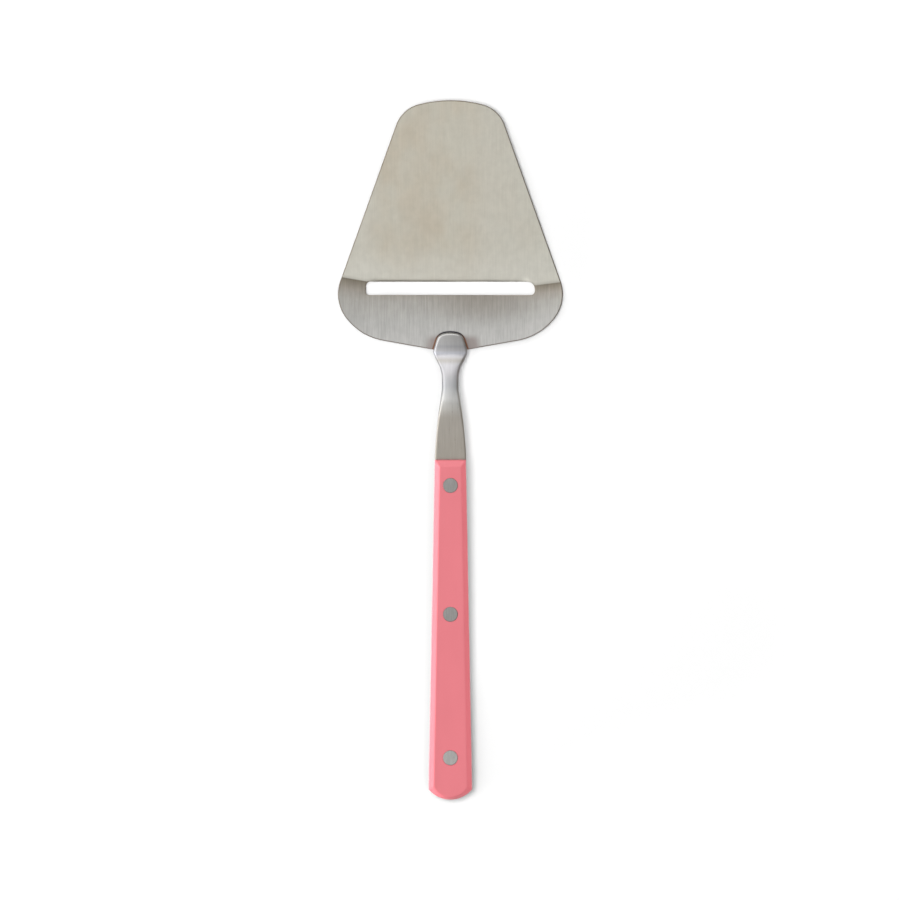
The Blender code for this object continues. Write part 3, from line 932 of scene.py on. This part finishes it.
def make_rivet_half(half):
    """Post or socket under a turned, faced head, upright in the handle's own frame."""
    deselect()
    bpy.ops.mesh.primitive_cylinder_add(
        vertices=ROUND_STEPS, radius=RIVET_HEAD / 2, depth=RIVET_HEAD_THICKNESS)
    rivet = name_piece(f"rivet_{half}")
    top = HALF_HANDLE + RIVET_PROUD
    shape(rivet, lambda co: Vector((co.x, co.y, co.z + top - RIVET_HEAD_THICKNESS / 2)))
    stem = RIVET_POST if half == "post" else RIVET_TUBE
    edit(rivet, "FACE")
    select_underside(rivet)
    bpy.ops.mesh.inset(thickness=(RIVET_HEAD - stem) / 2)
    extrude(RIVET_PLAY - between_heads)
    if half == "socket":
        bpy.ops.mesh.inset(thickness=(RIVET_TUBE - RIVET_POST) / 2 - RIVET_HAIRLINE)
        extrude(between_heads - 2 * RIVET_PLAY)
    bpy.ops.mesh.select_mode(type="EDGE")
    select_where(rivet, "edges", lambda e: all(v.co.z > top - SAME_POINT for v in e.verts))
    bpy.ops.mesh.bevel(offset=RIVET_RIM, segments=RIM_STEPS)
    close_edit()
    return rivet


def make_rivets(material):
    """Three rivets, each of a post half above and a socket half below."""
    patterns = {half: make_rivet_half(half) for half in RIVET_SIDES}
    for place, y in RIVET_PLACES.items():
        for half, side in RIVET_SIDES.items():
            rivet = copy_piece(patterns[half], f"rivet_{half}_{place}_head")
            seat_in_handle(rivet, side, y)
            smooth(rivet)
            lay_grain(rivet)
            hand_over(rivet, material, "rivet_steel", f"rivet_{half}_{place}")
    for pattern in patterns.values():
        bpy.data.objects.remove(pattern)


# Weld


def make_weld_bead(material):
    """Row of overlapping drops in the corner under the pad, run together into one rippled bead."""
    radius = BEAD_DIAMETER / 2
    rear = min(blade_edge, key=lambda point: point.y).y
    heel_lean = HEEL_SETBACK / (HEEL_WIDTH / 2)
    segments, rings = DROP_STEPS
    drops = []
    for i in range(BEAD_DROPS):
        wobble = math.sin(BEAD_BEAT * i) * BEAD_WOBBLE
        x = mix(-1, 1, i / (BEAD_DROPS - 1)) * (BEAD_LENGTH / 2 - radius / 2)
        y = rear - radius * (BEAD_OVERHANG - BEAD_WANDER * wobble) + abs(x) * heel_lean
        place = Vector((x, y, heel_top - radius))
        deselect()
        bpy.ops.mesh.primitive_uv_sphere_add(
            segments=segments, ring_count=rings, radius=radius * (1.0 + wobble))
        drop = name_piece(f"drop_{i}")
        shape(drop, lambda co: place + Vector((co.x * BEAD_STRETCH, co.y, co.z * BEAD_FLATTENING)))
        drops.append(drop)
    deselect()
    for drop in drops:
        drop.select_set(True)
    bpy.context.view_layer.objects.active = drops[0]
    bpy.ops.object.join()
    bead = name_piece("slicer_weld")
    apply_modifier(bead, "REMESH", mode="VOXEL", voxel_size=BEAD_VOXEL)
    apply_modifier(bead, "SMOOTH", factor=0.5, iterations=3)
    smooth(bead, BEAD_SOFT)
    hand_over(bead, material, "weld_steel", "weld_bead")


# Materials


class Shades:
    """The node tree of a material or the room, with short calls for the nodes that it needs."""

    def __init__(self, owner, shader="Principled BSDF", place="Object"):
        self.owner = owner
        owner.use_nodes = True
        self.tree = owner.node_tree
        self.shader = self.tree.nodes[shader]
        self.place = self.node("ShaderNodeTexCoord").outputs[place]

    def node(self, kind, **settings):
        made = self.tree.nodes.new(kind)
        for setting, value in settings.items():
            setattr(made, setting, value)
        return made

    def fill(self, node, values):
        """Links or sets inputs of a node, by their names or numbers."""
        for key, value in values.items():
            socket = node.inputs[key]
            if isinstance(value, bpy.types.NodeSocket):
                self.tree.links.new(value, socket)
            elif socket.type == "RGBA":
                socket.default_value = (*value, 1.0)
            else:
                socket.default_value = value

    def axis(self, name):
        """One coordinate of the place on the piece."""
        axes = self.node("ShaderNodeSeparateXYZ")
        self.fill(axes, {"Vector": self.place})
        return axes.outputs[name]

    def length(self, name):
        """A length that the piece keeps at its points."""
        return self.node("ShaderNodeAttribute", attribute_name=name).outputs["Fac"]

    def noise(self, scale, detail=3.0, roughness=0.55, shift=(0.0, 0.0, 0.0)):
        """Noise with so many features a metre along each axis."""
        mapping = self.node("ShaderNodeMapping")
        self.fill(mapping, {"Vector": self.place, "Scale": scale, "Location": shift})
        texture = self.node("ShaderNodeTexNoise")
        self.fill(texture, {"Vector": mapping.outputs["Vector"], "Scale": 1.0,
                            "Detail": detail, "Roughness": roughness})
        return texture.outputs["Fac"]

    def span(self, value, between, to=(0.0, 1.0)):
        """Maps a value softly from one range to another, held at the ends."""
        ranged = self.node("ShaderNodeMapRange", clamp=True, interpolation_type="SMOOTHSTEP")
        self.fill(ranged, dict(enumerate((value, *between, *to))))
        return ranged.outputs["Result"]

    def sum(self, operation, a, b=0.0):
        """Result of a sum with one or two values."""
        made = self.node("ShaderNodeMath", operation=operation)
        self.fill(made, {0: a, 1: b})
        return made.outputs["Value"]

    def band(self, value, middle, reach):
        """1 where a value is at the middle of a soft band, 0 at its edges and outside it."""
        away = self.sum("ABSOLUTE", self.sum("SUBTRACT", value, middle))
        return self.span(away, (0.0, reach), (1.0, 0.0))

    def spot(self, centre, radii):
        """1 in the middle of a soft oval spot, 0 outside it."""
        mapping = self.node("ShaderNodeMapping", vector_type="TEXTURE")
        self.fill(mapping, {"Vector": self.place, "Location": centre, "Scale": radii})
        away = self.node("ShaderNodeVectorMath", operation="LENGTH")
        self.fill(away, {0: mapping.outputs["Vector"]})
        return self.span(away.outputs["Value"], (0.0, 1.0), (1.0, 0.0))

    def colour(self, share, a, b, blend="MIX"):
        """Colour between a and b; each is a colour or a socket."""
        made = self.node("ShaderNodeMix", data_type="RGBA", blend_type=blend)
        self.fill(made, {0: share, 6: a, 7: b})
        return made.outputs[2]

    def times(self, colour, value):
        """Colour made darker or brighter by a value."""
        grey = self.node("ShaderNodeCombineColor")
        self.fill(grey, {0: value, 1: value, 2: value})
        return self.colour(1.0, colour, grey.outputs["Color"], "MULTIPLY")

    def ramp(self, share, stops):
        """Colour along stops from a share to its colour."""
        made = self.node("ShaderNodeValToRGB")
        elements = made.color_ramp.elements
        while len(elements) < len(stops):
            elements.new(0.5)
        for element, (place, colour) in zip(elements, stops.items()):
            element.position = place
            element.color = (*colour, 1.0)
        self.fill(made, {"Fac": share})
        return made.outputs["Color"]

    def surface(self, colour, roughness, metallic=0.0):
        self.fill(self.shader, {"Base Color": colour, "Roughness": roughness, "Metallic": metallic})

    def bump(self, height, strength, distance):
        bump = self.node("ShaderNodeBump")
        self.fill(bump, {"Height": height, "Strength": strength, "Distance": distance})
        self.fill(self.shader, {"Normal": bump.outputs["Normal"]})

    def brushed(self, amount):
        """Stretches the gloss across the brush lines."""
        tangent = self.node("ShaderNodeTangent", direction_type="UV_MAP", uv_map="grain")
        self.fill(self.shader, {"Tangent": tangent.outputs["Tangent"], "Anisotropic": amount})


def steel_grain(shades):
    """Brush lines that run along the slicer: hair-fine ones, and broader bundles of them."""
    fine = shades.noise((4200.0, 90.0, 400.0), detail=4.0, roughness=0.65)
    broad = shades.noise((1700.0, 130.0, 150.0), roughness=0.6, shift=(3.1, 0.4, 0.0))
    return shades.sum("ADD", shades.sum("MULTIPLY", fine, 0.55), shades.sum("MULTIPLY", broad, 0.45))


def front_plate_steel(shades, mottle, behind_crease):
    """Stained steel, paler towards both sides, with a painted sheen towards the ground lip and painted
    shade at the crease.
    """
    across = shades.axis("X")
    patches = shades.noise((48.0, 34.0, 20.0), roughness=0.6, shift=(0.7, 0.2, 0.0))
    steel = shades.colour(shades.span(patches, (0.36, 0.64)), FRONT_STEEL, STAINED_STEEL)
    right = shades.span(across, PALE_RIGHT, (0.0, PALE_SHARE))
    left = shades.span(across, PALE_LEFT, (PALE_SHARE, 0.0))
    steel = shades.colour(shades.sum("MAXIMUM", right, left), steel, PALE_STEEL)
    ahead = shades.sum("SUBTRACT", shades.axis("Y"), cutting_edge_y)
    # painted sheen towards the ground lip
    steel = shades.colour(shades.span(ahead, LIP_GLEAM, (LIP_SHARE, 0.0)), steel, PAINTED_LIP_SHEEN)
    steel = shades.times(steel, mottle)
    # painted shade at the crease
    crease_shade = shades.span(behind_crease, (CREASE_SHADE_START, 0.0), (0.0, CREASE_SHADE_SHARE))
    return shades.colour(crease_shade, steel, CREASE_PAINTED_SHADE)


def rear_plate_steel(shades, mottle, behind_crease):
    """Steel with painted shade that is darkest at the crease and gets paler to the rear, with a dull
    spot behind the slot.
    """
    across = shades.axis("X")
    # painted shade that fades from the crease towards the rear
    haste = shades.span(across, CREASE_SHADE_SIDES, [share / crease_to_rear for share in CREASE_SHADE_HASTE])
    steel = shades.ramp(shades.sum("MULTIPLY", behind_crease, haste), REAR_PLATE_PAINTED_SHADE)
    steel = shades.times(steel, shades.span(across, BRIGHT_RIGHT, (1.0, BRIGHT_GAIN)))
    dull_x, dull_y = DULL_PLACE
    dull = shades.spot((dull_x, slot_rear_y + dull_y, BLADE_THICKNESS), DULL_RADII)
    steel = shades.colour(shades.sum("MULTIPLY", dull, DULL_SHARE), steel, DULL_STEEL)
    return shades.times(steel, mottle)


def weld_tint_and_seam_shade(shades, steel):
    """Heat tint on the blade at both sides of the pad, and the dark seam round the pad: painted shade in
    the crevice at its nose, scorch beside it.
    """
    from_pad = shades.length("from_pad")
    ahead = shades.sum("SUBTRACT", shades.axis("Y"), blade_rear_y)
    rearward = shades.span(ahead, HEAT_END, (1.0, 0.0))
    reach = shades.span(shades.axis("X"), HEAT_SIDES, HEAT_REACH)
    heat = shades.span(shades.sum("SUBTRACT", reach, from_pad), (0.0, HEAT_FADE), (0.0, HEAT_SHARE))
    steel = shades.colour(shades.sum("MULTIPLY", heat, rearward), steel, HEAT_TINT)
    # painted shade in the crevice round the pad's nose, scorch beside the pad
    seam = shades.colour(rearward, SEAM_SHADE, SEAM_SCORCH)
    return shades.colour(shades.span(from_pad, SEAM_FADE, (1.0, 0.0)), steel, seam)


def blade_finish():
    shades = Shades(bpy.data.materials.new("brushed_blade_steel"))
    lines = steel_grain(shades)
    cloud = shades.noise((420.0, 380.0, 100.0), detail=2.0)
    mottle = shades.span(cloud, (0.25, 0.75), (0.968, 1.032))
    behind_crease = shades.length("behind_crease")
    front = front_plate_steel(shades, mottle, behind_crease)
    rear = rear_plate_steel(shades, mottle, behind_crease)
    at_rear = shades.span(behind_crease, (-0.0003, 0.0003))
    steel = shades.colour(at_rear, front, rear)
    more = shades.sum("MULTIPLY", at_rear, REAR_LINE_DEPTH - FRONT_LINE_DEPTH)
    depth = shades.sum("ADD", more, FRONT_LINE_DEPTH)
    shine = shades.sum("MULTIPLY", shades.span(lines, NOISE_RANGE, (-1.0, 1.0)), depth)
    steel = shades.times(steel, shades.sum("ADD", shine, 1.0))
    by_rim = shades.span(shades.length("from_rim"), RIM_FADE, (RIM_SHARE, 0.0))
    steel = shades.colour(by_rim, steel, RIM_SHADE)
    by_slot = shades.span(shades.length("from_slot"), SLOT_FADE, (SLOT_SHARE, 0.0))
    steel = shades.colour(by_slot, steel, SLOT_SHADE)
    steel = weld_tint_and_seam_shade(shades, steel)
    shades.surface(steel, shades.span(lines, NOISE_RANGE, (0.31, 0.39)), metallic=1.0)
    shades.brushed(0.6)
    shades.bump(lines, strength=0.05, distance=0.00003)
    return shades.owner


def shank_finish():
    shades = Shades(bpy.data.materials.new("brushed_shank_steel"))
    lines = steel_grain(shades)
    ahead = shades.sum("SUBTRACT", shades.axis("Y"), scale_front_y)
    # tones of the shank, with painted light and shade along the neck
    stops = {place / pad_front: tone for place, tone in SHANK_STEEL_AND_PAINTED_LIGHT.items()}
    steel = shades.ramp(shades.sum("DIVIDE", ahead, pad_front), stops)
    # painted light and shade in bands across the lower bend
    for place, reach, tone in BEND_LIGHT_AND_SHADE_BANDS:
        steel = shades.colour(shades.band(ahead, place, reach), steel, tone, "MULTIPLY")
    steel = shades.times(steel, shades.span(lines, NOISE_RANGE, (0.92, 1.06)))
    shades.surface(steel, shades.span(lines, NOISE_RANGE, (0.27, 0.34)), metallic=1.0)
    shades.brushed(0.5)
    shades.bump(lines, strength=0.05, distance=0.00003)
    return shades.owner


def weld_finish():
    shades = Shades(bpy.data.materials.new("heat_tinted_weld"))
    blotches = shades.noise((900.0, 900.0, 900.0))
    steel = shades.colour(shades.span(blotches, (0.35, 0.65)), WELD_STEEL, WELD_TINT)
    shades.surface(steel, shades.span(blotches, NOISE_RANGE, (0.30, 0.50)), metallic=1.0)
    shades.bump(blotches, strength=0.25, distance=0.00004)
    return shades.owner


def rivet_finish():
    shades = Shades(bpy.data.materials.new("satin_rivet_steel"))
    lines = shades.noise((2400.0, 240.0, 240.0), detail=4.0, roughness=0.65)
    flecks = shades.noise((1400.0, 1400.0, 1400.0), detail=2.0)
    steel = shades.colour(shades.span(lines, NOISE_RANGE), RIVET_DARK, RIVET_PALE)
    ahead = shades.sum("SUBTRACT", shades.axis("Y"), scale_front_y)
    steel = shades.times(steel, shades.span(ahead, BRIGHT_RIVET, (BRIGHT_RIVET_GAIN, 1.0)))
    steel = shades.colour(shades.span(flecks, (0.62, 0.72), (0.0, 0.35)), steel, RIVET_FLECK)
    shades.surface(steel, shades.span(lines, NOISE_RANGE, (0.34, 0.46)), metallic=1.0)
    shades.brushed(0.3)
    shades.bump(lines, strength=0.10, distance=0.00002)
    return shades.owner


def plastic_finish():
    shades = Shades(bpy.data.materials.new("satin_pink_plastic"))
    clouds = shades.noise((70.0, 30.0, 70.0))
    pores = shades.noise((4200.0, 4200.0, 4200.0), detail=2.0)
    scuffs = shades.noise((900.0, 110.0, 500.0), detail=4.0, roughness=0.7)
    pink = shades.colour(shades.span(clouds, NOISE_RANGE), PINK, PALE_PINK)
    shades.surface(pink, shades.span(scuffs, (0.45, 0.75), (0.32, 0.44)))
    shades.fill(shades.shader, {"Specular IOR Level": PLASTIC_GLOSS})
    shades.bump(pores, strength=0.06, distance=0.00003)
    return shades.owner


def table_finish():
    shades = Shades(bpy.data.materials.new("white_table_top"))
    haze = shades.noise((3.0, 3.0, 3.0), detail=2.0)
    shades.surface(shades.colour(haze, TABLE_WHITE, TABLE_HAZE), roughness=0.9)
    return shades.owner


# Studio


def make_floor():
    deselect()
    bpy.ops.mesh.primitive_plane_add(size=TABLE_SIZE)
    floor = name_piece("white_table")
    floor.data.materials.append(table_finish())


def make_room():
    """Pale room to be mirrored, brightest past the tip and dark low on the right."""
    world = bpy.data.worlds.new("pale_room")
    bpy.context.scene.world = world
    room = Shades(world, "Background", "Generated")
    brightest = max(ROOM_GLOW.values())
    along = room.sum("MULTIPLY", room.sum("ADD", room.axis("Y"), 1.0), 0.5)
    glow = room.ramp(along, {(y + 1) / 2: [level / brightest] * 3 for y, level in ROOM_GLOW.items()})
    darkest = (1 - ROOM_LEAN) / (1 + ROOM_LEAN)
    glow = room.times(glow, room.span(room.axis("X"), ROOM_SIDES, (1.0, darkest)))
    tint = room.colour(room.span(room.axis("X"), RIGHT_EDGE), ROOM_TINT, RIGHT_TINT)
    glow = room.colour(1.0, glow, tint, "MULTIPLY")
    room.fill(room.shader, {"Color": glow, "Strength": brightest * (1 + ROOM_LEAN)})
    world.cycles_visibility.diffuse = False


def make_softbox(name, place, size, radiance):
    """Rectangular light that faces the slicer and that the camera doesn't see."""
    light = bpy.data.lights.new(name, "AREA")
    light.shape = "RECTANGLE"
    light.size, light.size_y = size
    light.energy = radiance * math.pi * size[0] * size[1]
    box = bpy.data.objects.new(name, light)
    box.location = place
    box.rotation_euler = (-Vector(place)).to_track_quat("-Z", "Y").to_euler()
    box.visible_camera = False
    box.visible_glossy = name in MIRRORED
    box.visible_diffuse = name not in MIRRORED
    bpy.context.scene.collection.objects.link(box)


def make_camera():
    camera = bpy.data.cameras.new("above")
    camera.sensor_width = SENSOR
    camera.lens = SENSOR * (CAMERA_HEIGHT - heel_top) / FRAME_WIDTH
    camera.clip_end = CAMERA_REACH
    above = bpy.data.objects.new("above", camera)
    above.location = (*AXIS_OFFSET, CAMERA_HEIGHT)
    bpy.context.scene.collection.objects.link(above)
    bpy.context.scene.camera = above
    bpy.context.scene.view_settings.view_transform = "Standard"


# Making

blade_edge = blade_outline()
half_slot = half_width_at(blade_edge, cutting_edge_y) - STRAP_WIDTH

make_camera()
make_floor()
make_room()
for softbox, settings in SOFTBOXES.items():
    make_softbox(softbox, *settings)
make_blade(blade_finish())
make_shank(shank_finish())
make_weld_bead(weld_finish())
make_scales(plastic_finish())
make_rivets(rivet_finish())
